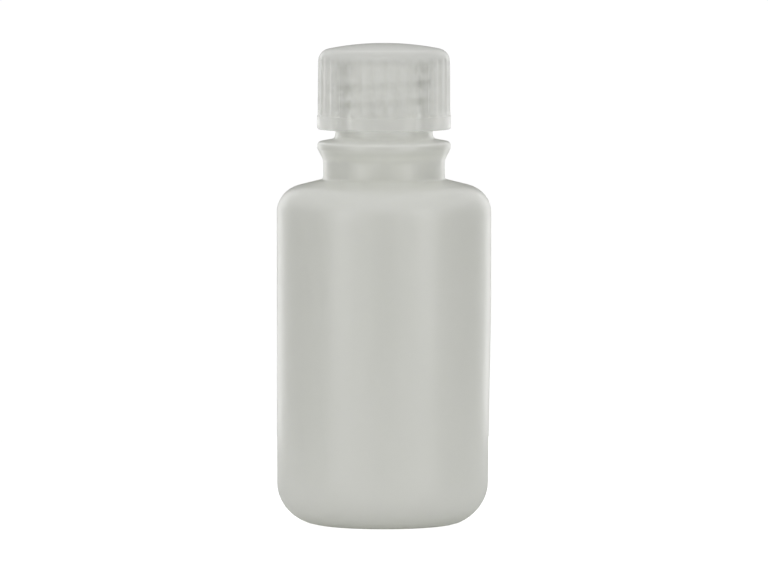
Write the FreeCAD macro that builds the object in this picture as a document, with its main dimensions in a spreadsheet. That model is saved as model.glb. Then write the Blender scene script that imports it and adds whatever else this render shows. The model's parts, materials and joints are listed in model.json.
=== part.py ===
import FreeCAD, Part
import math
import os

import Sketcher

# A 60 ml narrow-mouth reagent bottle: a blow-moulded polyethylene bottle, a moulded polypropylene screw
# cap and the foam liner that the cap carries. Millimetres, +Z up. The origin is the centre of the foot,
# on the plane that the bottle stands on, and the axis of every piece is Z.

DIMENSIONS = (
    # bottle body
    ("body_dia", 38.6, "straight wall, outside diameter"),
    ("body_top", 56.1, "height where the straight wall ends"),
    ("wall", 1.2, "body wall thickness"),
    ("heel_radius", 7.5, "outside radius between foot and wall"),
    ("foot_land", 1.2, "width of the flat ring that the bottle stands on"),
    ("base_rise", 1.3, "height of the push-up at the base's centre"),
    ("base_thick", 1.7, "base thickness at its centre"),
    ("shoulder_radius", 5.1, "outside radius between wall and shoulder"),
    # neck below the collar
    ("neck_dia", 21.8, "neck under the collar, outside diameter"),
    ("neck_foot", 62.2, "height where the neck leaves the shoulder"),
    ("neck_fillet", 0.7, "fillet between neck and shoulder"),
    ("neck_top", 65.6, "height where the collar starts to flare"),
    # collar, the bead that stops the cap
    ("collar_dia", 23.9, "collar outside diameter"),
    ("collar_edge", 67.7, "height where the flare reaches full width"),
    ("collar_top", 68.9, "height of the collar's top face"),
    ("collar_round", 0.7, "rounding of the collar's edges"),
    # threaded finish
    ("finish_dia", 17.5, "threaded finish, diameter between the threads"),
    ("bore_dia", 13.6, "mouth, inside diameter"),
    ("bore_foot", 72.0, "height where the bore starts to widen"),
    ("rim_height", 83.5, "height of the sealing rim"),
    ("rim_round", 0.4, "rounding of the rim's edges"),
    # thread, shared by finish and cap
    ("lead", 3.175, "rise for each turn, eight turns to the inch"),
    ("thread_depth", 1.05, "thread height, root to crest"),
    ("thread_base", 1.9, "thread width at its root"),
    ("thread_crest", 0.8, "thread width at its crest"),
    ("thread_start", 75.0, "height of the finish thread's middle at its lower end"),
    ("thread_turns", 2.25, "turns of thread on the finish"),
    ("thread_sink", 0.2, "how far a thread's root is sunk into its wall"),
    ("cap_thread_start", 73.7, "height of the cap thread's middle at its lower end"),
    ("cap_thread_turns", 2.55, "turns of thread in the cap"),
    ("cap_thread_base", 1.7, "cap thread width at its root"),
    ("cap_thread_crest", 0.7, "cap thread width at its crest"),
    # screw cap
    ("cap_foot", 71.2, "height of the cap's lower edge"),
    ("band_dia", 24.1, "smooth band round the cap's foot, diameter"),
    ("band_top", 73.6, "height where the smooth band ends"),
    ("grip_dia", 23.95, "fluted grip, diameter just over the band"),
    ("crown_dia", 23.8, "fluted grip, diameter at the crown"),
    ("crown_edge", 85.25, "height where the crown's dome meets the grip"),
    ("crown_round", 2.4, "rounding of the crown's edge"),
    ("crown_top", 86.65, "height of the crown's centre"),
    ("cap_foot_round", 0.3, "rounding of the cap's lower edge"),
    ("cap_bore_dia", 20.2, "inside diameter between the cap's threads"),
    ("liner_bead", 0.35, "height of the bead that keeps the liner in"),
    ("liner_bead_width", 0.5, "width of that bead"),
    ("liner_bead_gap", 0.15, "space between the bead and the liner"),
    ("flute_count", 32, "flutes round the grip"),
    ("flute_radius", 1.25, "radius of one flute"),
    ("flute_depth", 0.25, "depth of one flute"),
    # liner
    ("liner_dia", 19.9, "liner diameter"),
    ("liner_thick", 1.0, "liner thickness"),
    ("liner_round", 0.15, "rounding of the liner's edges"),
)


def make_sheet(doc):
    """The spreadsheet of driving dimensions: a note in column A, the number in column B."""
    sheet = doc.addObject("Spreadsheet::Sheet", "Dims")
    for row, (alias, number, note) in enumerate(DIMENSIONS, start=1):
        sheet.set(f"A{row}", note)
        sheet.set(f"B{row}", str(number))
        sheet.setAlias(f"B{row}", alias)
    doc.recompute()


# ---------------------------------------------------------------- sketches


def corner(across, up, arc=None, smooth=False):
    """One corner of an outline: expressions for its place, and for the edge that leaves it.

    arc is None for a straight edge, or (turn, radius) with turn "left" or "right". A smooth corner is
    tangent, and if it is also loose its place is only a first guess."""
    return {"across": across, "up": up, "arc": arc, "smooth": smooth, "loose": False}


def loose_corner(across, up, arc=None):
    """A corner that the tangency of its two edges places; across and up are where the solver starts."""
    return dict(corner(across, up, arc, smooth=True), loose=True)


def arc_between(start, end, turn, radius):
    """The shorter arc from start to end that turns left or right, as sketch geometry."""
    chord = end - start
    side = 1 if turn == "left" else -1
    reach = math.sqrt(max(radius**2 - (chord.Length / 2) ** 2, 0))
    inward = FreeCAD.Vector(-chord.y, chord.x, 0).normalize() * (side * reach)
    centre = start + chord / 2 + inward
    first, last = (start, end) if turn == "left" else (end, start)
    from_angle = math.atan2(first.y - centre.y, first.x - centre.x)
    to_angle = math.atan2(last.y - centre.y, last.x - centre.x)
    if to_angle < from_angle:
        to_angle += 2 * math.pi
    circle = Part.Circle(centre, FreeCAD.Vector(0, 0, 1), radius)
    return Part.ArcOfCircle(circle, from_angle, to_angle)


def bind(sketch, constraint, expression):
    """Adds a dimension and ties it to the sheet."""
    index = sketch.addConstraint(constraint)
    sketch.setExpression(f"Constraints[{index}]", expression)


def place_point(sketch, edge, end, spot):
    """Ties one end of an edge to the place that a corner states."""
    for kind, axis, expression in (
        ("DistanceX", -2, spot["across"]),
        ("DistanceY", -1, spot["up"]),
    ):
        if expression == "0":
            sketch.addConstraint(Sketcher.Constraint("PointOnObject", edge, end, axis))
        else:
            size = float(sketch.evalExpression(expression))
            bind(sketch, Sketcher.Constraint(kind, -1, 1, edge, end, size), expression)


def origin_plane(body, role):
    """One of the body's own origin planes."""
    return next(item for item in body.Origin.OriginFeatures if item.Role == role)


def outline(body, name, corners):
    """A closed sketch in the body's XZ plane, through the corners in order: across is X, up is Z."""
    sketch = body.newObject("Sketcher::SketchObject", name)
    sketch.AttachmentSupport = [(origin_plane(body, "XZ_Plane"), "")]
    sketch.MapMode = "FlatFace"
    points = [
        FreeCAD.Vector(
            float(sketch.evalExpression(c["across"])), float(sketch.evalExpression(c["up"])), 0
        )
        for c in corners
    ]
    ends = []
    for index, spot in enumerate(corners):
        start, end = points[index], points[(index + 1) % len(points)]
        if spot["arc"] is None:
            sketch.addGeometry(Part.LineSegment(start, end))
        else:
            turn, radius = spot["arc"]
            size = float(sketch.evalExpression(radius))
            sketch.addGeometry(arc_between(start, end, turn, size))
        # a sketch stores every arc anticlockwise, so one that turns right starts at its second end
        turns_right = spot["arc"] is not None and spot["arc"][0] == "right"
        ends.append((2, 1) if turns_right else (1, 2))
    for index, spot in enumerate(corners):
        before = (index - 1) % len(corners)
        joint = "Tangent" if spot["smooth"] else "Coincident"
        sketch.addConstraint(
            Sketcher.Constraint(joint, before, ends[before][1], index, ends[index][0])
        )
        if not spot["loose"]:
            place_point(sketch, index, ends[index][0], spot)
        if spot["arc"] is not None:
            radius = spot["arc"][1]
            size = float(sketch.evalExpression(radius))
            bind(sketch, Sketcher.Constraint("Radius", index, size), radius)
    return sketch


# ---------------------------------------------------------------- features


def new_body(doc, label):
    body = doc.addObject("PartDesign::Body", label)
    body.Label = label
    return body


def revolve(body, name, sketch):
    """The sketch turned once round Z."""
    feature = body.newObject("PartDesign::Revolution", name)
    feature.Profile = sketch
    feature.ReferenceAxis = (sketch, ["V_Axis"])
    feature.Angle = 360
    body.Document.recompute()
    return feature


def round_rings(body, name, rings, radius):
    """Fillets the circular edges that lie at the stated (radius, height) pairs."""
    base = body.Tip
    names = []
    for index, edge in enumerate(base.Shape.Edges, start=1):
        if edge.Degenerated or not isinstance(edge.Curve, Part.Circle):
            continue
        for ring_radius, height in rings:
            same_size = abs(edge.Curve.Radius - ring_radius) < 1e-3
            same_place = abs(edge.Curve.Center.z - height) < 1e-3
            if same_size and same_place:
                names.append(f"Edge{index}")
    if len(names) < len(rings):
        raise RuntimeError(f"{name}: found {len(names)} of {len(rings)} edges")
    feature = body.newObject("PartDesign::Fillet", name)
    feature.Base = (base, names)
    feature.setExpression("Radius", radius)
    body.Document.recompute()
    return feature


def helix(body, name, sketch, turns):
    """The sketch swept up a right-handed helix round Z and added to the body."""
    feature = body.newObject("PartDesign::AdditiveHelix", name)
    feature.Profile = sketch
    feature.ReferenceAxis = (sketch, ["V_Axis"])
    feature.Mode = "pitch-turns-angle"
    feature.setExpression("Pitch", "Dims.lead")
    feature.setExpression("Turns", turns)
    feature.LeftHanded = False
    feature.Reversed = False
    body.Document.recompute()
    return feature


def thread_outline(body, name, root, crest, middle, base_width, crest_width):
    """A thread's cross-section, its root sunk in the wall so that the two fuse."""
    if float(body.evalExpression(crest)) > float(body.evalExpression(root)):
        sunk = f"{root} - Dims.thread_sink"
    else:
        sunk = f"{root} + Dims.thread_sink"
    corners = [
        corner(sunk, f"{middle} - {base_width} / 2"),
        corner(crest, f"{middle} - {crest_width} / 2"),
        corner(crest, f"{middle} + {crest_width} / 2"),
        corner(sunk, f"{middle} + {base_width} / 2"),
    ]
    return outline(body, name, corners)


# ---------------------------------------------------------------- pieces


def bottle_corners():
    """The bottle's wall cut through the axis: outside from base to rim, then inside back down."""
    foot_outer = "Dims.body_dia / 2 - Dims.heel_radius"
    foot_inner = f"{foot_outer} - Dims.foot_land"
    base_dome = f"(({foot_inner})^2 + Dims.base_rise^2) / (2 * Dims.base_rise)"
    inner_wall = "Dims.body_dia / 2 - Dims.wall"
    inner_heel = "Dims.heel_radius - Dims.wall"
    inner_shoulder = "Dims.shoulder_radius - Dims.wall"
    inner_floor = "Dims.wall"
    inner_dome_rise = "Dims.base_rise + Dims.base_thick - Dims.wall"
    inner_dome = f"(({foot_outer})^2 + ({inner_dome_rise})^2) / (2 * ({inner_dome_rise}))"
    inner_neck = "Dims.neck_dia / 2 - Dims.wall"
    return [
        # outside
        corner("0", "Dims.base_rise", arc=("right", base_dome)),
        corner(foot_inner, "0"),
        corner(foot_outer, "0", arc=("left", "Dims.heel_radius")),
        corner("Dims.body_dia / 2", "Dims.heel_radius"),
        corner("Dims.body_dia / 2", "Dims.body_top", arc=("left", "Dims.shoulder_radius"), smooth=True),
        loose_corner(
            "Dims.body_dia / 2 - Dims.shoulder_radius * 0.8",
            "Dims.body_top + Dims.shoulder_radius * 0.98",
        ),
        corner("Dims.neck_dia / 2", "Dims.neck_foot"),
        corner("Dims.neck_dia / 2", "Dims.neck_top"),
        corner("Dims.collar_dia / 2", "Dims.collar_edge"),
        corner("Dims.collar_dia / 2", "Dims.collar_top"),
        corner("Dims.finish_dia / 2", "Dims.collar_top"),
        corner("Dims.finish_dia / 2", "Dims.rim_height"),
        # inside
        corner("Dims.bore_dia / 2", "Dims.rim_height"),
        corner("Dims.bore_dia / 2", "Dims.bore_foot"),
        corner(inner_neck, "Dims.neck_top"),
        corner(inner_neck, "Dims.neck_foot - Dims.wall"),
        loose_corner(
            f"{inner_wall} - ({inner_shoulder}) * 0.8",
            f"Dims.body_top + ({inner_shoulder}) * 0.98",
            arc=("right", inner_shoulder),
        ),
        corner(inner_wall, "Dims.body_top", smooth=True),
        corner(inner_wall, "Dims.heel_radius", arc=("right", inner_heel)),
        corner(foot_outer, inner_floor, arc=("left", inner_dome)),
        corner("0", "Dims.base_rise + Dims.base_thick"),
    ]


def make_bottle(doc, size):
    """The blow-moulded bottle, with its neck, collar and threaded finish in one piece."""
    body = new_body(doc, "bottle")
    revolve(body, "Bottle_wall", outline(body, "Bottle_section", bottle_corners()))
    collar_radius = size("collar_dia") / 2
    round_rings(
        body,
        "Collar_edges",
        [(collar_radius, size("collar_edge")), (collar_radius, size("collar_top"))],
        "Dims.collar_round",
    )
    round_rings(body, "Neck_foot", [(size("neck_dia") / 2, size("neck_foot"))], "Dims.neck_fillet")
    rim = size("rim_height")
    round_rings(
        body, "Rim", [(size("finish_dia") / 2, rim), (size("bore_dia") / 2, rim)], "Dims.rim_round"
    )
    section = thread_outline(
        body,
        "Finish_thread_section",
        "Dims.finish_dia / 2",
        "Dims.finish_dia / 2 + Dims.thread_depth",
        "Dims.thread_start",
        "Dims.thread_base",
        "Dims.thread_crest",
    )
    helix(body, "Finish_thread", section, "Dims.thread_turns")
    return body


def make_liner(doc, size):
    """The foam disc that the rim presses on."""
    body = new_body(doc, "cap_liner")
    top = "Dims.rim_height + Dims.liner_thick"
    corners = [
        corner("0", "Dims.rim_height"),
        corner("Dims.liner_dia / 2", "Dims.rim_height"),
        corner("Dims.liner_dia / 2", top),
        corner("0", top),
    ]
    revolve(body, "Liner_disc", outline(body, "Liner_section", corners))
    edge, foot = size("liner_dia") / 2, size("rim_height")
    round_rings(
        body, "Liner_edges", [(edge, foot), (edge, foot + size("liner_thick"))], "Dims.liner_round"
    )
    return body


def cap_corners():
    """The cap's wall cut through the axis: outside from foot to crown, then inside back down."""
    edge_radius = "Dims.crown_dia / 2"
    dome_rise = "(Dims.crown_top - Dims.crown_edge)"
    dome = f"(({edge_radius})^2 + {dome_rise}^2) / (2 * {dome_rise})"
    bore = "Dims.cap_bore_dia / 2"
    ceiling = "Dims.rim_height + Dims.liner_thick"
    bead_top = "Dims.rim_height - Dims.liner_bead_gap"
    return [
        corner("Dims.band_dia / 2", "Dims.cap_foot"),
        corner("Dims.band_dia / 2", "Dims.band_top"),
        corner("Dims.grip_dia / 2", "Dims.band_top"),
        corner(edge_radius, "Dims.crown_edge", arc=("left", dome)),
        corner("0", "Dims.crown_top"),
        corner("0", ceiling),
        corner(bore, ceiling),
        corner(bore, bead_top),
        corner(f"{bore} - Dims.liner_bead", f"{bead_top} - Dims.liner_bead_width / 2"),
        corner(bore, f"{bead_top} - Dims.liner_bead_width"),
        corner(bore, "Dims.cap_foot"),
    ]


def cut_flutes(body):
    """The grip's flutes: one round groove from the band up through the crown, repeated round Z."""
    sketch = body.newObject("Sketcher::SketchObject", "Flute_section")
    sketch.AttachmentSupport = [(origin_plane(body, "XY_Plane"), "")]
    sketch.MapMode = "FlatFace"
    sketch.setExpression("AttachmentOffset.Base.z", "Dims.band_top")
    reach = "Dims.grip_dia / 2 - Dims.flute_depth + Dims.flute_radius"
    radius = float(sketch.evalExpression("Dims.flute_radius"))
    centre = FreeCAD.Vector(float(sketch.evalExpression(reach)), 0, 0)
    sketch.addGeometry(Part.Circle(centre, FreeCAD.Vector(0, 0, 1), radius))
    place_point(sketch, 0, 3, corner(reach, "0"))
    bind(sketch, Sketcher.Constraint("Radius", 0, radius), "Dims.flute_radius")
    before = body.Tip.Shape.Volume
    flute = body.newObject("PartDesign::Pocket", "Flute")
    flute.Profile = sketch
    flute.Reversed = True
    flute.setExpression("Length", "Dims.crown_top - Dims.band_top")
    body.Document.recompute()
    if not flute.Shape.Volume < before:
        raise RuntimeError("the flute cut nothing")
    ring = body.newObject("PartDesign::PolarPattern", "Flutes")
    ring.Originals = [flute]
    ring.Axis = (sketch, ["N_Axis"])
    ring.Angle = 360
    ring.setExpression("Occurrences", "Dims.flute_count")
    body.Tip = ring
    body.Document.recompute()


def make_cap(doc, size):
    """The screw cap: smooth foot band, fluted grip, domed crown, inner thread and liner bead."""
    body = new_body(doc, "screw_cap")
    revolve(body, "Cap_wall", outline(body, "Cap_section", cap_corners()))
    round_rings(
        body, "Crown_round", [(size("crown_dia") / 2, size("crown_edge"))], "Dims.crown_round"
    )
    round_rings(body, "Foot_round", [(size("band_dia") / 2, size("cap_foot"))], "Dims.cap_foot_round")
    cut_flutes(body)
    section = thread_outline(
        body,
        "Cap_thread_section",
        "Dims.cap_bore_dia / 2",
        "Dims.cap_bore_dia / 2 - Dims.thread_depth",
        "Dims.cap_thread_start",
        "Dims.cap_thread_base",
        "Dims.cap_thread_crest",
    )
    helix(body, "Cap_thread", section, "Dims.cap_thread_turns")
    return body


# ---------------------------------------------------------------- checks and files


def check(doc, pieces):
    """Stops on any failed object, and on a piece that is not one or more closed solids."""
    for item in doc.Objects:
        if "Invalid" in item.State or "Error" in item.State:
            raise RuntimeError(f"{item.Name} failed: {item.State}")
    for piece in pieces:
        shape = piece.Shape
        if shape.isNull() or not shape.isValid() or not shape.Solids:
            raise RuntimeError(f"{piece.Label} has no valid solid")
        print(f"{piece.Label}: {shape.Volume / 1000:.3f} ml of plastic, box {shape.BoundBox}")


def main():
    doc = FreeCAD.newDocument("reagent_bottle")
    make_sheet(doc)
    numbers = {alias: number for alias, number, _ in DIMENSIONS}
    pieces = [maker(doc, numbers.get) for maker in (make_bottle, make_liner, make_cap)]
    doc.recompute()
    check(doc, pieces)
    os.makedirs("parts", exist_ok=True)
    for piece in pieces:
        piece.Shape.exportStep(os.path.join("parts", piece.Label + ".step"))


main()
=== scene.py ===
"""The looks of a small plastic reagent bottle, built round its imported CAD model.

The frame gives the places: each piece takes its radii and heights from the CAD nodes' boxes, and the small
roundings and offsets are given below, in millimetres. The three visible pieces stand for the three CAD
nodes. All of them are lathed shells: a cross-section turned round Z, then displaced by a thread, flutes, a
mould seam and a little unevenness.
"""

import json
import math

import bpy
import numpy as np
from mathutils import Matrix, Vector


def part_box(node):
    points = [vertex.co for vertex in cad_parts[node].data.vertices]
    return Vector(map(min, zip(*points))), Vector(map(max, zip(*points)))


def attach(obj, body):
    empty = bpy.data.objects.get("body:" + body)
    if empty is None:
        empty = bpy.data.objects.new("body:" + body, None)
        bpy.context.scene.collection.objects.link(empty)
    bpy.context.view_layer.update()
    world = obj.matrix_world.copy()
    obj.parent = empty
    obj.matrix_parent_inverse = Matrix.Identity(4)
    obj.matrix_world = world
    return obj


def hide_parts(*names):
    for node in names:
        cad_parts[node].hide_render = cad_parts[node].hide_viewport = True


MM = 0.001
FULL_TURN = 2 * math.pi

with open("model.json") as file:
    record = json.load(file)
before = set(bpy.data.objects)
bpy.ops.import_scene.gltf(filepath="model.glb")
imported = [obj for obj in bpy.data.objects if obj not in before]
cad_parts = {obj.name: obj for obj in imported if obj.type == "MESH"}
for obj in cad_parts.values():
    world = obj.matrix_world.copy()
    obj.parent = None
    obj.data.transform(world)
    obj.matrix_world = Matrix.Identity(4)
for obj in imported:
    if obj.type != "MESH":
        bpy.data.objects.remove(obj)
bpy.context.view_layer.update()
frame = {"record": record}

# ---------------------------------------------------------------- sizes from the frame, in millimetres


def node_box(node):
    """A CAD node's half-width, lowest and highest points, in millimetres."""
    low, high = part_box(node)
    return high.x / MM, low.z / MM, high.z / MM


BODY_R, FOOT, RIM = node_box("bottle")
BAND_R, CAP_FOOT, CROWN = node_box("screw_cap")
LINER_R, LINER_LOW, LINER_TOP = node_box("cap_liner")
LEAD = frame["record"]["behaviour"]["couplings"][0]["ratio"] * FULL_TURN / MM

# bottle
WALL = 1.2
HEEL_ROUND = 7.5
FOOT_OUT = BODY_R - HEEL_ROUND
FOOT_IN = FOOT_OUT - 1.2
BASE_RISE = 1.3
BASE_THICK = 1.7
INNER_FLOOR_R = FOOT_OUT - 2.5
BODY_TOP = RIM - 27.4
SHOULDER_ROUND = 5.1
NECK_R = BODY_R - 8.4
NECK_FOOT = RIM - 21.3
NECK_TOP = RIM - 17.9
COLLAR_R = NECK_R + 1.05
COLLAR_EDGE = RIM - 15.8
COLLAR_TOP = RIM - 14.6
COLLAR_SLOPE = 0.6
FINISH_R = NECK_R - 2.15
BORE_R = FINISH_R - 1.95
BORE_FOOT = RIM - 11.5

# mould seam: a fine ridge on both sides of the bottle, with extra mesh columns beside it, in radians
SEAM_WIDTH, SEAM_HEIGHT = 0.13, 0.05
SEAM_COLUMNS = (-0.016, -0.007, 0.007, 0.016)
BOTTLE_COLUMNS = 240
BASE_RINGS, INNER_FLOOR_RINGS = 14, 12

# pinch-off line under the base: a ridge along X that fades out before the foot
PINCH_WIDTH, PINCH_DEPTH = 0.28, 0.35
PINCH_REACH, PINCH_FADE = 8.2, 0.8

# unevenness of the blown wall: waves as (number round the wall, size, phase, phase for each mm of height)
WAVES = ((2, 0.035, 0.9, 0.05), (3, 0.022, 2.1, -0.09), (5, 0.012, 0.4, 0.17))
WAVE_SHIFT = 0.03
WAVE_INSIDE = 0.6
WAVE_LOW, WAVE_HIGH, WAVE_FADE = 6, BODY_TOP + 3, 8

# the side at +X is drawn in, from DRAW_TOP down over the length of the fade and only near the outside
DRAW_IN = 0.55
DRAW_TOP, DRAW_FADE = 44, 36
DRAW_INNER, DRAW_INNER_FADE = 12, 5

# threads
THREAD_DEPTH = 1.05
THREAD_START = RIM - 8.5
THREAD_TURNS = 2.25
THREAD_BASE, THREAD_CREST = 1.9, 0.8
CAP_THREAD_START = CAP_FOOT + 2.5
CAP_THREAD_TURNS = 2.55
CAP_THREAD_BASE, CAP_THREAD_CREST = 1.7, 0.7
THREAD_RUNOUT = math.radians(24)

# cap
BAND_TOP = CAP_FOOT + 2.4
GRIP_R = BAND_R - 0.075
CROWN_R = BAND_R - 0.15
CROWN_EDGE = CROWN - 1.4
CROWN_ROUND = 2.4
CROWN_RINGS, CROWN_ARC_STEPS = 18, 10
CAP_BORE_R = BAND_R - 1.95
BEAD_TOP = LINER_LOW - 0.15
BEAD_DEPTH = 0.35
FLUTES = 32
FLUTE_COLUMNS = 14
FLUTE_RADIUS = 1.25
FLUTE_DEPTH = 0.25
FLUTE_START = 0.25
FLUTE_REACH = 1.2
FLUTE_EDGE_BLEND = 0.06

# mark of the moulding gate: a shallow dish with a small pip, each as (height, radius, width of its edge)
GATE_DISH = (-0.12, 1.0, 0.5)
GATE_PIP = (0.08, 0.3, 0.3)

# liner
LINER_GAP = 0.03
LINER_ROUND = 0.15
LINER_COLUMNS = 128
PRESSED_DEPTH, PRESSED_HALF_WIDTH = 0.06, 0.75

# ---------------------------------------------------------------- cross-sections

ARC_STEP = math.radians(9)
SAME_POINT = 1e-4
ON_EDGE = 1e-6


def ball_radius(edge_r, rise):
    """The radius of the ball whose cap has this edge radius and rise."""
    return (edge_r**2 + rise**2) / (2 * rise)


def dome(edge_r, centre_z, edge_z, pieces):
    """A shallow spherical cap as (radius, height) points, from the axis out to its edge."""
    ball = ball_radius(edge_r, abs(centre_z - edge_z))
    sign = 1 if centre_z > edge_z else -1
    points = []
    for step in range(pieces):
        r = edge_r * step / pieces
        points.append((r, centre_z - sign * (ball - math.sqrt(ball**2 - r**2))))
    return points


def corner_arc(before, here, after, rounding):
    """The points that round off a corner, from the end of one straight run to the start of the next."""
    back = before - here
    ahead = after - here
    back /= np.linalg.norm(back)
    ahead /= np.linalg.norm(ahead)
    half = math.acos(float(np.clip(back @ ahead, -1, 1))) / 2
    reach = rounding / math.tan(half)
    middle = back + ahead
    centre = here + middle / np.linalg.norm(middle) * (rounding / math.sin(half))
    first = here + back * reach - centre
    last = here + ahead * reach - centre
    sweep = math.atan2(first[0] * last[1] - first[1] * last[0], float(first @ last))
    count = max(3, round(abs(sweep) / ARC_STEP))
    points = []
    for k in range(count + 1):
        a = sweep * k / count
        spin = np.array([[math.cos(a), -math.sin(a)], [math.sin(a), math.cos(a)]])
        points.append(centre + spin @ first)
    return points


def rounded(corners):
    """A cross-section through corners given as (radius, height, rounding, spacing to the next corner)."""
    spots = [np.array(corner[:2], float) for corner in corners]
    points = [tuple(spots[0])]
    for i in range(1, len(corners)):
        rounding = corners[i][2]
        spacing = corners[i - 1][3]
        if i == len(corners) - 1 or rounding == 0:
            arc = [spots[i]]
        else:
            arc = corner_arc(spots[i - 1], spots[i], spots[i + 1], rounding)
        start = np.array(points[-1])
        run = arc[0] - start
        pieces = max(1, math.ceil(np.linalg.norm(run) / spacing))
        for k in range(1, pieces + 1):
            points.append(tuple(start + run * k / pieces))
        points.extend(tuple(p) for p in arc[1:])
    return points


def without_repeats(points):
    """Drops points that sit on the one before."""
    kept = [points[0]]
    for p in points[1:]:
        if math.dist(p, kept[-1]) > SAME_POINT:
            kept.append(p)
    return kept


# ---------------------------------------------------------------- lathe


def lathe(name, points, angles, shape):
    """Turns a cross-section, which starts and ends on the axis, round Z into one closed mesh.

    shape(radii, heights, turn) gives the displaced radii and heights of every ring at every angle."""
    points = np.array(without_repeats(points))
    inner = points[1:-1]
    rings, columns = len(inner), len(angles)
    turn = np.array(angles)[None, :]
    radii = np.repeat(inner[:, 0:1], columns, axis=1)
    heights = np.repeat(inner[:, 1:2], columns, axis=1)
    radii, heights = shape(radii, heights, turn)
    grid = np.stack([radii * np.cos(turn), radii * np.sin(turn), heights], axis=-1).reshape(-1, 3)
    poles = np.array([[0, 0, points[0][1]], [0, 0, points[-1][1]]])
    vertices = np.concatenate([grid, poles]) * MM
    first_pole, last_pole = len(grid), len(grid) + 1
    faces = []
    for j in range(columns):
        k = (j + 1) % columns
        faces.append((first_pole, j, k))
        for i in range(rings - 1):
            a, b = i * columns + j, i * columns + k
            faces.append((a, a + columns, b + columns, b))
        top = (rings - 1) * columns
        faces.append((last_pole, top + k, top + j))
    mesh = bpy.data.meshes.new(name)
    mesh.from_pydata(vertices.tolist(), [], faces)
    mesh.validate()
    piece = bpy.data.objects.new(name, mesh)
    bpy.context.scene.collection.objects.link(piece)
    for polygon in mesh.polygons:
        polygon.use_smooth = True
    return piece


def even_angles(count, extra=()):
    """Angles round a full turn, with extra ones where a narrow feature needs them."""
    angles = {round(FULL_TURN * k / count, 7) for k in range(count)}
    angles.update(round(a % FULL_TURN, 7) for a in extra)
    return sorted(angles)


def smooth_step(x):
    """0 up to 0, 1 from 1 on, smooth in between."""
    x = np.clip(x, 0, 1)
    return x * x * (3 - 2 * x)


def within(values, low, high):
    """Where values lie between two limits."""
    return (values > low) * (values < high)


def first_rings(radii, count):
    """1 on the first rings of a cross-section, which are its outside, and 0 on the rest."""
    outer = np.zeros_like(radii)
    outer[:count] = 1
    return outer


def thread_height(heights, turn, start, turns, base, crest):
    """How far a right-handed helical thread stands out at each point, from 0 to 1."""
    out = np.zeros_like(heights)
    for wrap in range(math.ceil(turns) + 1):
        along = turn + FULL_TURN * wrap
        middle = start + LEAD * along / FULL_TURN
        away = np.abs(heights - middle)
        flank = smooth_step((base / 2 - away) / ((base - crest) / 2))
        run_in = smooth_step(along / THREAD_RUNOUT)
        run_out = smooth_step((turns * FULL_TURN - along) / THREAD_RUNOUT)
        out = np.maximum(out, flank * (run_in * run_out))
    return out


# ---------------------------------------------------------------- bottle


def shoulder_corner(body_r, neck_r, neck_z, top, rounding):
    """Where the straight wall would meet the shoulder's slope, which is tangent to its rounding."""
    across, down = body_r - rounding - neck_r, neck_z - top
    slope = math.asin(rounding / math.hypot(across, down)) - math.atan2(down, across)
    return neck_z + (body_r - neck_r) * math.tan(slope)


def bottle_section():
    """The bottle's wall, from the middle of the base's underside round the rim to the inside's floor."""
    in_r = BODY_R - WALL
    in_neck = NECK_R - WALL
    in_shoulder = SHOULDER_ROUND - WALL
    shoulder_z = shoulder_corner(BODY_R, NECK_R, NECK_FOOT, BODY_TOP, SHOULDER_ROUND)
    in_shoulder_z = shoulder_corner(in_r, in_neck, NECK_FOOT - WALL, BODY_TOP, in_shoulder)
    outside = rounded(
        [
            (FOOT_IN, FOOT, 0, 0.6),
            (BODY_R, FOOT, HEEL_ROUND, 1.4),
            (BODY_R, shoulder_z, SHOULDER_ROUND, 0.7),
            (NECK_R, NECK_FOOT, 0.7, 0.4),
            (NECK_R, NECK_TOP, 1.2, 0.3),
            (COLLAR_R, COLLAR_EDGE, 0.7, 0.25),
            (COLLAR_R, COLLAR_TOP, 0.7, 0.45),
            (FINISH_R, COLLAR_TOP + COLLAR_SLOPE, 0.9, 0.125),
            (FINISH_R, RIM, 0.4, 0.3),
            (BORE_R, RIM, 0.4, 0.9),
            (BORE_R, BORE_FOOT, 3.0, 0.8),
            (in_neck, NECK_TOP, 2.0, 0.8),
            (in_neck, NECK_FOOT - WALL, 1.5, 0.8),
            (in_r, in_shoulder_z, in_shoulder, 2.4),
            (in_r, WALL, HEEL_ROUND - WALL, 0.8),
            (INNER_FLOOR_R, WALL, 0, 0.8),
        ]
    )
    floor = dome(INNER_FLOOR_R, BASE_RISE + BASE_THICK, WALL, INNER_FLOOR_RINGS)
    return dome(FOOT_IN, BASE_RISE, FOOT, BASE_RINGS) + outside + floor[::-1]


def wall_waves(heights, turn):
    """The slow waves of a blown wall, shifted inwards and faded out towards the heel and the shoulder."""
    total = sum(
        size * np.sin(number * turn + phase + heights * twist) for number, size, phase, twist in WAVES
    )
    rise = smooth_step((heights - WAVE_LOW) / WAVE_FADE)
    fall = smooth_step((WAVE_HIGH - heights) / WAVE_FADE)
    return (total - WAVE_SHIFT) * (rise * fall)


def wall_draw(radii, heights, turn):
    """How far the side at +X is drawn in."""
    low = smooth_step((DRAW_TOP - heights) / DRAW_FADE)
    outward = smooth_step((radii - DRAW_INNER) / DRAW_INNER_FADE)
    return DRAW_IN * (low * outward) * np.maximum(np.cos(turn), 0) ** 2


def pinch_off(radii, turn):
    """The ridge that the mould's closing edge leaves across the base, from 0 to 1."""
    along, across = radii * np.cos(turn), radii * np.sin(turn)
    return np.exp(-((across / PINCH_WIDTH) ** 2)) * smooth_step(
        (PINCH_REACH - np.abs(along)) / PINCH_FADE
    )


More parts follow.
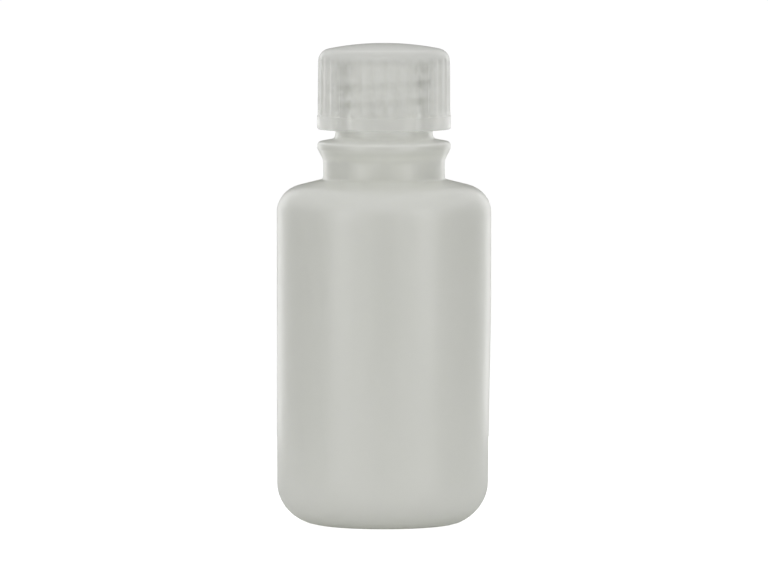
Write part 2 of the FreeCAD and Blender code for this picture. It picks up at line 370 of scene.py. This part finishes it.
def bottle_shape(radii, heights, turn):
    """Thread, mould seam, pinch-off line under the base, and the slight unevenness of a blown wall."""
    plain_r, plain_z = radii, heights
    outer = first_rings(radii, int(np.argmax(heights[:, 0] >= RIM - ON_EDGE)))
    finish = outer * within(plain_z, COLLAR_TOP + 0.3, RIM - 0.2)
    stand = thread_height(plain_z, turn, THREAD_START, THREAD_TURNS, THREAD_BASE, THREAD_CREST)
    radii = radii + THREAD_DEPTH * stand * finish
    from_seam = plain_r * np.abs(np.sin(turn))
    seam = np.exp(-((from_seam / SEAM_WIDTH) ** 2)) * SEAM_HEIGHT
    radii = radii + seam * (outer * within(plain_z, 0.4, RIM - 0.6))
    radii = radii + wall_waves(plain_z, turn) * (outer + WAVE_INSIDE * (1 - outer))
    radii = radii - wall_draw(plain_r, plain_z, turn)
    wall = outer * within(plain_z, WAVE_LOW, BODY_TOP + 4)
    radii = np.where(wall, np.minimum(radii, BODY_R), radii)
    under = outer * (plain_z < BASE_RISE + 0.01) * (plain_r < FOOT_IN - 0.6)
    heights = heights - PINCH_DEPTH * pinch_off(plain_r, turn) * under
    return radii, heights


def make_bottle():
    """The bottle, with extra columns beside its two mould seams."""
    extra = [side + offset for side in (0, math.pi) for offset in SEAM_COLUMNS]
    return lathe("bottle_shell", bottle_section(), even_angles(BOTTLE_COLUMNS, extra), bottle_shape)


# ---------------------------------------------------------------- cap


def crown_curve():
    """The crown's spherical dome from the centre out, and the rounding that joins it to the grip."""
    ball = ball_radius(CROWN_R, CROWN - CROWN_EDGE)
    ball_z = CROWN - ball
    centre_r = CROWN_R - CROWN_ROUND
    centre_z = ball_z + math.sqrt((ball - CROWN_ROUND) ** 2 - centre_r**2)
    start = math.atan2(centre_z - ball_z, centre_r)
    points = []
    for step in range(CROWN_RINGS):
        r = ball * math.cos(start) * step / CROWN_RINGS
        points.append((r, ball_z + math.sqrt(ball**2 - r**2)))
    for step in range(CROWN_ARC_STEPS + 1):
        a = start * (1 - step / CROWN_ARC_STEPS)
        points.append((centre_r + CROWN_ROUND * math.cos(a), centre_z + CROWN_ROUND * math.sin(a)))
    return points


def cap_section():
    """The cap's wall, from the crown's centre down the grip, round the foot and up inside to the ceiling."""
    crown = crown_curve()
    below = rounded(
        [
            (*crown[-1], 0, 0.9),
            (GRIP_R, BAND_TOP, 0, 0.05),
            (BAND_R, BAND_TOP, 0.05, 0.8),
            (BAND_R, CAP_FOOT, 0.3, 0.5),
            (CAP_BORE_R, CAP_FOOT, 0.25, 0.125),
            (CAP_BORE_R, BEAD_TOP - 0.5, 0, 0.1),
            (CAP_BORE_R - BEAD_DEPTH, BEAD_TOP - 0.25, 0.12, 0.1),
            (CAP_BORE_R, BEAD_TOP, 0, 0.2),
            (CAP_BORE_R, LINER_TOP, 0.15, 1.0),
            (0, LINER_TOP, 0, 1.0),
        ]
    )
    return crown[:-1] + below


def flute_radius(turn):
    """The radius of a flute's round floor at an angle, far out where there is no flute."""
    from_middle = (turn + math.pi / FLUTES) % (FULL_TURN / FLUTES) - math.pi / FLUTES
    centre = GRIP_R - FLUTE_DEPTH + FLUTE_RADIUS
    room = FLUTE_RADIUS**2 - (centre * np.sin(from_middle)) ** 2
    floor = centre * np.cos(from_middle) - np.sqrt(np.maximum(room, 0))
    return np.where(room > 0, floor, GRIP_R + 1)


def fluted_radii(radii, heights, turn):
    """The grip's radii with the flutes cut in, their edges softened and their feet faded out at the band."""
    gap = np.clip((flute_radius(turn) - radii) / FLUTE_EDGE_BLEND, -20, 20)
    cut = radii - FLUTE_EDGE_BLEND * np.logaddexp(0, -gap)
    return radii + (cut - radii) * smooth_step((heights - BAND_TOP) / FLUTE_START)


def round_mark(radii, height, radius, edge):
    """A round mark about the axis, with a soft edge."""
    return height * (1 - smooth_step((radii - radius) / edge))


def cap_shape(radii, heights, turn):
    """Flutes outside, thread inside, and the mark of the moulding gate on the crown."""
    plain_r, plain_z = radii, heights
    outer = first_rings(radii, int(np.argmax(heights[:, 0] <= CAP_FOOT + ON_EDGE)))
    grip = outer * (plain_z > BAND_TOP - 0.01) * (plain_r > GRIP_R - FLUTE_REACH)
    radii = np.where(grip > 0, fluted_radii(plain_r, plain_z, turn), radii)
    bore = (1 - outer) * within(plain_z, CAP_FOOT + 0.3, LINER_LOW - 0.7)
    stand = thread_height(
        plain_z, turn, CAP_THREAD_START, CAP_THREAD_TURNS, CAP_THREAD_BASE, CAP_THREAD_CREST
    )
    radii = radii - THREAD_DEPTH * stand * bore
    gate = round_mark(plain_r, *GATE_DISH) + round_mark(plain_r, *GATE_PIP)
    heights = heights + gate * outer * (plain_z > CROWN_EDGE)
    return radii, heights


def make_cap():
    """The cap, with a whole number of columns to each flute."""
    return lathe("cap_shell", cap_section(), even_angles(FLUTES * FLUTE_COLUMNS), cap_shape)


# ---------------------------------------------------------------- liner


def liner_section():
    """A plain disc that just clears the cap's ceiling and the bottle's rim."""
    low, top = LINER_LOW + LINER_GAP, LINER_TOP - LINER_GAP
    return [(0, low)] + rounded(
        [
            (0.5, low, 0, 0.6),
            (LINER_R, low, LINER_ROUND, 0.3),
            (LINER_R, top, LINER_ROUND, 0.8),
            (0.5, top, 0, 0.8),
            (0, top, 0, 0.8),
        ]
    )


def liner_shape(radii, heights, turn):
    """The ring that the rim has pressed into the foam."""
    middle = (FINISH_R + BORE_R) / 2
    ring = np.exp(-(((radii - middle) / PRESSED_HALF_WIDTH) ** 4))
    underside = heights < LINER_LOW + 0.2
    return radii, heights + PRESSED_DEPTH * ring * underside


def make_liner():
    """The foam disc between the cap's ceiling and the rim."""
    return lathe("liner_disc", liner_section(), even_angles(LINER_COLUMNS), liner_shape)


# ---------------------------------------------------------------- node helpers


def new_material(name):
    """A material with nodes, and its nodes and links."""
    material = bpy.data.materials.new(name)
    material.use_nodes = True
    return material, material.node_tree.nodes, material.node_tree.links


def grey(level):
    """A grey colour with its alpha."""
    return (level, level, level, 1)


def feed(links, value, socket):
    """Sets a socket to a number or a tuple, or joins another node's output to it."""
    if isinstance(value, (int, float, tuple)):
        socket.default_value = value
    else:
        links.new(value, socket)


def noise(nodes, links, scale, detail, stretch=(1, 1, 1)):
    """Noise in object coordinates, its scale in features to the metre."""
    place = nodes.new("ShaderNodeTexCoord")
    mapping = nodes.new("ShaderNodeMapping")
    mapping.inputs["Scale"].default_value = stretch
    texture = nodes.new("ShaderNodeTexNoise")
    texture.inputs["Scale"].default_value = scale
    texture.inputs["Detail"].default_value = detail
    links.new(place.outputs["Object"], mapping.inputs["Vector"])
    links.new(mapping.outputs["Vector"], texture.inputs["Vector"])
    return texture.outputs["Fac"]


def span(nodes, links, value, low, high, start=0.3, end=0.7):
    """A value from start to end mapped to low to high; noise runs from about 0.3 to 0.7."""
    node = nodes.new("ShaderNodeMapRange")
    node.inputs["From Min"].default_value = start
    node.inputs["From Max"].default_value = end
    node.inputs["To Min"].default_value = low
    node.inputs["To Max"].default_value = high
    links.new(value, node.inputs["Value"])
    return node.outputs["Result"]


def between(nodes, links, value, start, end):
    """0 where a value is at start, 1 where it is at end, smooth in between."""
    node = nodes.new("ShaderNodeMapRange")
    node.interpolation_type = "SMOOTHSTEP"
    node.inputs["From Min"].default_value = start
    node.inputs["From Max"].default_value = end
    links.new(value, node.inputs["Value"])
    return node.outputs["Result"]


def worked_out(nodes, links, operation, first, second=0):
    """A math node on two values, each a number or another node's output."""
    node = nodes.new("ShaderNodeMath")
    node.operation = operation
    feed(links, first, node.inputs[0])
    feed(links, second, node.inputs[1])
    return node.outputs["Value"]


def times(nodes, links, *values):
    """The product of several values."""
    product = values[0]
    for value in values[1:]:
        product = worked_out(nodes, links, "MULTIPLY", product, value)
    return product


def faded(nodes, links, level, *fades):
    """A level times a fade for each (value, start, end), which is 0 at start and 1 at end."""
    steps = [between(nodes, links, *fade) for fade in fades]
    return times(nodes, links, *steps, level)


def vector_step(nodes, links, operation, first, second=None):
    """A vector math node on one or two vectors."""
    node = nodes.new("ShaderNodeVectorMath")
    node.operation = operation
    links.new(first, node.inputs[0])
    if second is not None:
        feed(links, second, node.inputs[1])
    return node.outputs["Value" if operation in ("LENGTH", "DOT_PRODUCT") else "Vector"]


def mixed_colour(nodes, links, factor, first, second, blend="MIX"):
    """A mix of two colours; factor is the second one's share."""
    mix = nodes.new("ShaderNodeMix")
    mix.data_type = "RGBA"
    mix.blend_type = blend
    feed(links, factor, mix.inputs["Factor"])
    feed(links, first, mix.inputs["A"])
    feed(links, second, mix.inputs["B"])
    return mix.outputs["Result"]


def mixed_shader(nodes, links, factor, first, second):
    """A mix of two shaders; factor is the second one's share."""
    mix = nodes.new("ShaderNodeMixShader")
    feed(links, factor, mix.inputs["Fac"])
    links.new(first, mix.inputs[1])
    links.new(second, mix.inputs[2])
    return mix.outputs["Shader"]


def seen_by_camera(nodes):
    """1 for the camera's own rays, 0 for every other ray."""
    return nodes.new("ShaderNodeLightPath").outputs["Is Camera Ray"]


def bumped(nodes, links, height, strength, distance):
    """The surface's direction, roughened by a height; distance is in millimetres."""
    bump = nodes.new("ShaderNodeBump")
    bump.inputs["Strength"].default_value = strength
    bump.inputs["Distance"].default_value = distance * MM
    links.new(height, bump.inputs["Height"])
    return bump.outputs["Normal"]


def round_place(nodes, links):
    """A point's height and its distance from the axis, in millimetres, and how squarely its side faces the
    view, from 0 to 1."""
    place = nodes.new("ShaderNodeTexCoord").outputs["Object"]
    split = nodes.new("ShaderNodeSeparateXYZ")
    links.new(place, split.inputs["Vector"])
    across = vector_step(nodes, links, "MULTIPLY", place, (1, 1, 0))
    height = times(nodes, links, split.outputs["Z"], 1 / MM)
    radius = times(nodes, links, vector_step(nodes, links, "LENGTH", across), 1 / MM)
    outward = vector_step(nodes, links, "NORMALIZE", across)
    view = nodes.new("ShaderNodeNewGeometry").outputs["Incoming"]
    facing = vector_step(nodes, links, "DOT_PRODUCT", outward, view)
    return height, radius, worked_out(nodes, links, "ABSOLUTE", facing)


# ---------------------------------------------------------------- materials

# noise in the plastic, as (features to the metre, detail, stretch)
CLOUDS = (90, 3, (1, 1, 0.45))
GLOSS_PATCHES = (260, 4, (1, 1, 0.6))
GRAIN_DETAIL, GRAIN_STRENGTH = 2, 0.35
PLASTIC_IOR = 1.5

# bottle: the soft sheen of its skin, and the painted shade and painted light on parts of its neck
SKIN, SKIN_ROUGH = 0.25, 0.22
COLLAR_PAINTED_SHADE, ROOT_PAINTED_SHADE, GAP_PAINTED_LIGHT, NECK_SIDE_PAINTED_LIGHT = 0.12, 0.27, 0.08, 0.08

# cap: the painted shade and painted highlight on its parts, and how clear it is outside its two clear
# windows, where it is seen edge-on, and for light that doesn't go to the camera
CROWN_PAINTED_SHADE, MIDDLE_PAINTED_SHADE, BAND_END_PAINTED_HIGHLIGHT = 0.12, 0.095, 0.08
GLASS_ROUGH = 0.06
WINDOW_REST = 0.35
EDGE_CLEAR = 0.08
EDGE_ON_START, EDGE_ON_END = 0.45, 0.95
LIGHT_THROUGH = 0.9


def milky_plastic(name, light, dark, roughness, shine, skin, depth, grain, grain_depth):
    """Milky plastic: light scatters under the surface, to a depth in millimetres. skin is the weight of the
    soft sheen on top, and the grain is in features to the metre, its depth in millimetres."""
    material, nodes, links = new_material(name)
    shader = nodes["Principled BSDF"]
    cloud = span(nodes, links, noise(nodes, links, *CLOUDS), 0, 1)
    colour = mixed_colour(nodes, links, cloud, (*light, 1), (*dark, 1))
    links.new(colour, shader.inputs["Base Color"])
    patches = noise(nodes, links, *GLOSS_PATCHES)
    gloss = span(nodes, links, patches, roughness - 0.01, roughness + 0.02)
    links.new(gloss, shader.inputs["Roughness"])
    shader.inputs["IOR"].default_value = PLASTIC_IOR
    shader.inputs["Specular IOR Level"].default_value = shine
    shader.inputs["Coat Weight"].default_value = skin
    shader.inputs["Coat Roughness"].default_value = SKIN_ROUGH
    shader.inputs["Subsurface Weight"].default_value = 1.0
    shader.inputs["Subsurface Radius"].default_value = (1.0, 1.0, 1.0)
    shader.inputs["Subsurface Scale"].default_value = depth * MM
    bumps = noise(nodes, links, grain, GRAIN_DETAIL)
    links.new(bumped(nodes, links, bumps, GRAIN_STRENGTH, grain_depth), shader.inputs["Normal"])
    return material


def toned(material, factor):
    """Multiplies a material's base colour by a factor, and hands back the new colour's output."""
    nodes, links = material.node_tree.nodes, material.node_tree.links
    colour = nodes["Principled BSDF"].inputs["Base Color"]
    scaled = nodes.new("ShaderNodeVectorMath")
    scaled.operation = "SCALE"
    links.new(colour.links[0].from_socket, scaled.inputs[0])
    links.new(factor, scaled.inputs["Scale"])
    links.new(scaled.outputs["Vector"], colour)
    return scaled.outputs["Vector"]


def tone(nodes, links, darker, paler):
    """The factor that makes a colour darker by one share and paler by another."""
    difference = worked_out(nodes, links, "SUBTRACT", darker, paler)
    return worked_out(nodes, links, "SUBTRACT", 1.0, difference)


def neck_painted_shading(nodes, links):
    """How bright the neck's plastic looks beside the wall's, from painted shade and painted light. The solid
    collar gets painted shade, and so do the thread's roots on the two sides, where the view runs along the
    wall. The bare strip under the cap and the neck's sides get painted light."""
    height, radius, towards = round_place(nodes, links)
    # painted shade on the solid collar bead
    collar = faded(
        nodes,
        links,
        COLLAR_PAINTED_SHADE,
        (height, NECK_TOP + 0.2, COLLAR_EDGE - 0.4),
        (radius, COLLAR_R - 1.0, COLLAR_R - 0.4),
        (height, COLLAR_TOP - 0.1, COLLAR_TOP - 0.5),
    )
    # painted shade in the thread's roots where the wall is seen edge-on
    root = faded(
        nodes,
        links,
        ROOT_PAINTED_SHADE,
        (radius, FINISH_R + 0.4, FINISH_R + 0.15),
        (radius, BORE_R + 0.3, BORE_R + 0.5),
        (towards, 0.82, 0.62),
        (towards, 0.15, 0.45),
        (height, RIM - 10.2, RIM - 8.6),
        (height, RIM - 0.2, RIM - 0.6),
    )
    # painted light on the bare neck between the collar and the cap, which lies in the cap's shade
    gap = faded(
        nodes,
        links,
        GAP_PAINTED_LIGHT,
        (height, COLLAR_TOP + 0.1, COLLAR_TOP + 0.5),
        (height, CAP_FOOT + 1.5, CAP_FOOT + 0.5),
    )
    # painted light on the neck's sides below the collar, where they face away from the view
    sides = faded(
        nodes,
        links,
        NECK_SIDE_PAINTED_LIGHT,
        (height, NECK_FOOT - 0.6, NECK_FOOT + 0.6),
        (height, NECK_TOP + 0.6, NECK_TOP - 0.4),
        (towards, 0.95, 0.7),
    )
    darker = worked_out(nodes, links, "ADD", collar, root)
    paler = worked_out(nodes, links, "ADD", gap, sides)
    return tone(nodes, links, darker, paler)


def blown_plastic(name, through, **milky):
    """Milky plastic in a thin wall: a share of the light comes out scattered on the other side."""
    material = milky_plastic(name, skin=SKIN, **milky)
    nodes, links = material.node_tree.nodes, material.node_tree.links
    # painted shade and painted light on the neck, multiplied into the base colour
    colour = toned(material, neck_painted_shading(nodes, links))
    glow = nodes.new("ShaderNodeBsdfTranslucent")
    links.new(colour, glow.inputs["Color"])
    skin = nodes["Principled BSDF"].outputs["BSDF"]
    both = mixed_shader(nodes, links, through, skin, glow.outputs["BSDF"])
    links.new(both, nodes["Material Output"].inputs["Surface"])
    return material


def cap_painted_shading(nodes, links, height, towards, crown):
    """How bright the cap's plastic looks beside its own colour: painted shade on the crown and low down in
    the middle where it faces the view, and a painted highlight at the two ends of its band."""
    # painted shade on the crown
    crown_shade = times(nodes, links, crown, CROWN_PAINTED_SHADE)
    # painted shade low down in the middle, where the cap faces the view
    middle = faded(
        nodes,
        links,
        MIDDLE_PAINTED_SHADE,
        (height, CROWN - 3, CAP_FOOT - 1),
        (towards, 0.9, 0.97),
    )
    # painted highlight at the two ends of the band, where it is seen edge-on
    band = faded(
        nodes,
        links,
        BAND_END_PAINTED_HIGHLIGHT,
        (height, BAND_TOP + 0.4, BAND_TOP - 0.2),
        (towards, 0.8, 0.5),
    )
    darker = worked_out(nodes, links, "ADD", crown_shade, middle)
    return tone(nodes, links, darker, band)


def clear_share(nodes, links, most, towards, crown):
    """How much light passes the cap: most in a window on each side of the middle, less in the middle and at
    the crown, and hardly any where the wall is seen edge-on."""
    facing = nodes.new("ShaderNodeLayerWeight")
    facing.inputs["Blend"].default_value = 0.5
    edge_on = facing.outputs["Facing"]
    towards_edge = span(nodes, links, edge_on, most, EDGE_CLEAR, EDGE_ON_START, EDGE_ON_END)
    below_crown = worked_out(nodes, links, "SUBTRACT", 1.0, crown)
    window = faded(nodes, links, below_crown, (towards, 0.95, 0.82), (towards, 0.55, 0.75))
    return times(nodes, links, towards_edge, span(nodes, links, window, WINDOW_REST, 1.0, 0, 1))


def rough_glass(nodes, links):
    """Bends the light on its way through, with the plastic's own grain."""
    glass = nodes.new("ShaderNodeBsdfRefraction")
    glass.inputs["Color"].default_value = grey(1)
    glass.inputs["Roughness"].default_value = GLASS_ROUGH
    glass.inputs["IOR"].default_value = PLASTIC_IOR
    links.new(nodes["Bump"].outputs["Normal"], glass.inputs["Normal"])
    return glass.outputs["BSDF"]


def hazy_plastic(name, straight, bent, **milky):
    """Nearly clear plastic: milky haze, with shares of light that pass straight and that bend on the way.
    Rays that don't come from the camera pass almost freely, so that the parts beneath are well lit."""
    material = milky_plastic(name, skin=0.0, **milky)
    nodes, links = material.node_tree.nodes, material.node_tree.links
    height, _, towards = round_place(nodes, links)
    crown = between(nodes, links, height, CROWN - 4.2, CROWN - 2.6)
    # painted shade and painted highlight on the cap, multiplied into the base colour
    toned(material, cap_painted_shading(nodes, links, height, towards, crown))
    haze = nodes["Principled BSDF"].outputs["BSDF"]
    clear = nodes.new("ShaderNodeBsdfTransparent").outputs["BSDF"]
    both_clear = mixed_shader(nodes, links, straight / (straight + bent), rough_glass(nodes, links), clear)
    share = clear_share(nodes, links, straight + bent, towards, crown)
    whole = mixed_shader(nodes, links, share, haze, both_clear)
    freely = span(nodes, links, seen_by_camera(nodes), LIGHT_THROUGH, 0, 0, 1)
    final = mixed_shader(nodes, links, freely, whole, clear)
    links.new(final, nodes["Material Output"].inputs["Surface"])
    return material


def foam(name):
    """Fine white foam, its closed cells as small hollows."""
    material, nodes, links = new_material(name)
    shader = nodes["Principled BSDF"]
    cells = nodes.new("ShaderNodeTexVoronoi")
    cells.inputs["Scale"].default_value = 3500
    place = nodes.new("ShaderNodeTexCoord")
    links.new(place.outputs["Object"], cells.inputs["Vector"])
    hollow = cells.outputs["Distance"]
    colour = mixed_colour(nodes, links, hollow, (0.76, 0.765, 0.74, 1), (0.7, 0.705, 0.68, 1))
    links.new(colour, shader.inputs["Base Color"])
    shader.inputs["Roughness"].default_value = 0.75
    shader.inputs["Subsurface Weight"].default_value = 0.4
    shader.inputs["Subsurface Radius"].default_value = (1, 1, 1)
    shader.inputs["Subsurface Scale"].default_value = 1.0 * MM
    links.new(bumped(nodes, links, hollow, 0.5, 0.06), shader.inputs["Normal"])
    return material


# ---------------------------------------------------------------- stage, in metres

# floor: a small disc; its own light is stronger to the camera than to everything else
FLOOR_RADIUS, FLOOR_CORNERS = 0.18, 96
FLOOR_ALBEDO, FLOOR_GLOW, FLOOR_BOUNCE = 0.68, 0.9, 0.13

# room that lights the bottle, as (place, brightness) stops: from front to back, from the middle plane out to
# both sides, and from straight below to straight above
ROOM_LEVEL = 0.175
ROOM_AROUND = ((0.0, 4.4), (0.3, 1.2), (0.66, 0.5), (0.8, 3.4), (0.93, 10.0), (1.0, 11.0))
ROOM_MIDDLE = ((0.0, 0.0), (0.14, 0.0), (0.34, 1.0), (1.0, 1.0))
ROOM_ABOVE = ((0.0, 0.0), (0.56, 0.0), (0.8, 1.0), (1.0, 1.0))
CEILING = 5.0
WHITE_LEVEL = 1.02

# two upright strips in front, one on each side
STRIP_ANGLE, STRIP_DISTANCE, STRIP_LEVEL = 47, 0.4, 1.5
STRIP_WIDTH, STRIP_HEIGHT, STRIP_MIDDLE = 0.15, 0.3, 0.145

CAMERA_DISTANCE, CAMERA_HEIGHT, AIM_HEIGHT = 1.5, 0.147, 0.0425
FRAME_WIDTH, SENSOR_WIDTH = 0.1384, 36


def make_floor():
    """A pale round floor that the camera sees as lit white paper."""
    vertices = [(0, 0, 0)]
    for j in range(FLOOR_CORNERS):
        a = FULL_TURN * j / FLOOR_CORNERS
        vertices.append((FLOOR_RADIUS * math.cos(a), FLOOR_RADIUS * math.sin(a), 0))
    faces = [(0, j + 1, (j + 1) % FLOOR_CORNERS + 1) for j in range(FLOOR_CORNERS)]
    mesh = bpy.data.meshes.new("floor")
    mesh.from_pydata(vertices, [], faces)
    floor = bpy.data.objects.new("floor", mesh)
    bpy.context.scene.collection.objects.link(floor)
    material, nodes, links = new_material("floor_paper")
    shader = nodes["Principled BSDF"]
    shader.inputs["Base Color"].default_value = grey(FLOOR_ALBEDO)
    shader.inputs["Roughness"].default_value = 0.9
    shader.inputs["Specular IOR Level"].default_value = 0.0
    shader.inputs["Emission Color"].default_value = grey(1)
    glow = span(nodes, links, seen_by_camera(nodes), FLOOR_BOUNCE, FLOOR_GLOW, 0, 1)
    links.new(glow, shader.inputs["Emission Strength"])
    mesh.materials.append(material)


def make_strip(name, azimuth):
    """An upright area light that faces the bottle; azimuth 0 is towards the camera."""
    data = bpy.data.lights.new(name, "AREA")
    data.shape = "RECTANGLE"
    data.size, data.size_y = STRIP_WIDTH, STRIP_HEIGHT
    data.energy = STRIP_LEVEL * math.pi * STRIP_WIDTH * STRIP_HEIGHT
    light = bpy.data.objects.new(name, data)
    a = math.radians(azimuth)
    light.location = (STRIP_DISTANCE * math.sin(a), -STRIP_DISTANCE * math.cos(a), STRIP_MIDDLE)
    aim = Vector((0, 0, STRIP_MIDDLE)) - light.location
    light.rotation_euler = aim.to_track_quat("-Z", "Y").to_euler()
    light.visible_camera = False
    bpy.context.scene.collection.objects.link(light)


def ramped(nodes, links, value, stops):
    """A smooth grey ramp through (place, brightness) stops."""
    ramp = nodes.new("ShaderNodeValToRGB")
    ramp.color_ramp.interpolation = "EASE"
    elements = ramp.color_ramp.elements
    while len(elements) < len(stops):
        elements.new(0.5)
    for element, (place, level) in zip(elements, stops):
        element.position = place
        element.color = grey(level)
    links.new(value, ramp.inputs["Fac"])
    return ramp.outputs["Color"]


def plain_light(nodes, links, colour, strength):
    """A background of one colour or of another node's colour."""
    background = nodes.new("ShaderNodeBackground")
    background.inputs["Strength"].default_value = strength
    feed(links, colour, background.inputs["Color"])
    return background.outputs["Background"]


def make_world():
    """A white surround for the camera. Every other ray meets a room that is pale in front, dim at its sides
    and bright behind, with a dark strip down the middle and an even ceiling."""
    world = bpy.data.worlds.new("studio")
    world.use_nodes = True
    nodes, links = world.node_tree.nodes, world.node_tree.links
    place = nodes.new("ShaderNodeTexCoord")
    split = nodes.new("ShaderNodeSeparateXYZ")
    links.new(place.outputs["Generated"], split.inputs["Vector"])
    depth = span(nodes, links, split.outputs["Y"], 0, 1, -1, 1)
    aside = worked_out(nodes, links, "ABSOLUTE", split.outputs["X"])
    height = span(nodes, links, split.outputs["Z"], 0, 1, -1, 1)
    around = ramped(nodes, links, depth, ROOM_AROUND)
    middle = ramped(nodes, links, aside, ROOM_MIDDLE)
    above = ramped(nodes, links, height, ROOM_ABOVE)
    walls = mixed_colour(nodes, links, 1.0, around, middle, "MULTIPLY")
    room = mixed_colour(nodes, links, above, walls, grey(CEILING))
    seen = mixed_shader(
        nodes,
        links,
        seen_by_camera(nodes),
        plain_light(nodes, links, room, ROOM_LEVEL),
        plain_light(nodes, links, grey(1), WHITE_LEVEL),
    )
    links.new(seen, nodes["World Output"].inputs["Surface"])
    bpy.context.scene.world = world


def make_camera():
    """A nearly level view from far off, with the bottle filling most of the frame's height."""
    data = bpy.data.cameras.new("camera")
    data.sensor_width = SENSOR_WIDTH
    gap = math.hypot(CAMERA_DISTANCE, CAMERA_HEIGHT - AIM_HEIGHT)
    data.lens = data.sensor_width * gap / FRAME_WIDTH
    data.clip_start, data.clip_end = 0.05, 20
    camera = bpy.data.objects.new("camera", data)
    camera.location = (0, -CAMERA_DISTANCE, CAMERA_HEIGHT)
    aim = Vector((0, 0, AIM_HEIGHT)) - camera.location
    camera.rotation_euler = aim.to_track_quat("-Z", "Y").to_euler()
    bpy.context.scene.collection.objects.link(camera)
    bpy.context.scene.camera = camera


# ---------------------------------------------------------------- put together

hdpe = blown_plastic(
    "natural_polyethylene",
    through=0.3,
    light=(0.92, 0.926, 0.885),
    dark=(0.91, 0.916, 0.875),
    roughness=0.287,
    shine=0.9,
    depth=3.0,
    grain=4200,
    grain_depth=0.03,
)
polypropylene = hazy_plastic(
    "natural_polypropylene",
    straight=0.53,
    bent=0.12,
    light=(0.768, 0.773, 0.741),
    dark=(0.748, 0.753, 0.721),
    roughness=0.25,
    shine=0.1,
    depth=3.0,
    grain=5200,
    grain_depth=0.02,
)
for piece, material, node, body, slot in (
    (make_bottle(), hdpe, "bottle", "bottle", "bottle_plastic"),
    (make_cap(), polypropylene, "screw_cap", "cap", "cap_plastic"),
    (make_liner(), foam("liner_foam"), "cap_liner", "liner", "liner_foam"),
):
    piece.data.materials.append(material)
    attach(piece, body)
    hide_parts(node)

make_floor()
make_strip("strip_left", -STRIP_ANGLE)
make_strip("strip_right", STRIP_ANGLE)
make_world()
make_camera()
bpy.context.scene.view_settings.view_transform = "Standard"
bpy.context.scene.cycles.use_denoising = True
bpy.context.scene.cycles.max_bounces = 24
bpy.context.scene.cycles.diffuse_bounces = 12
bpy.context.scene.cycles.transmission_bounces = 16
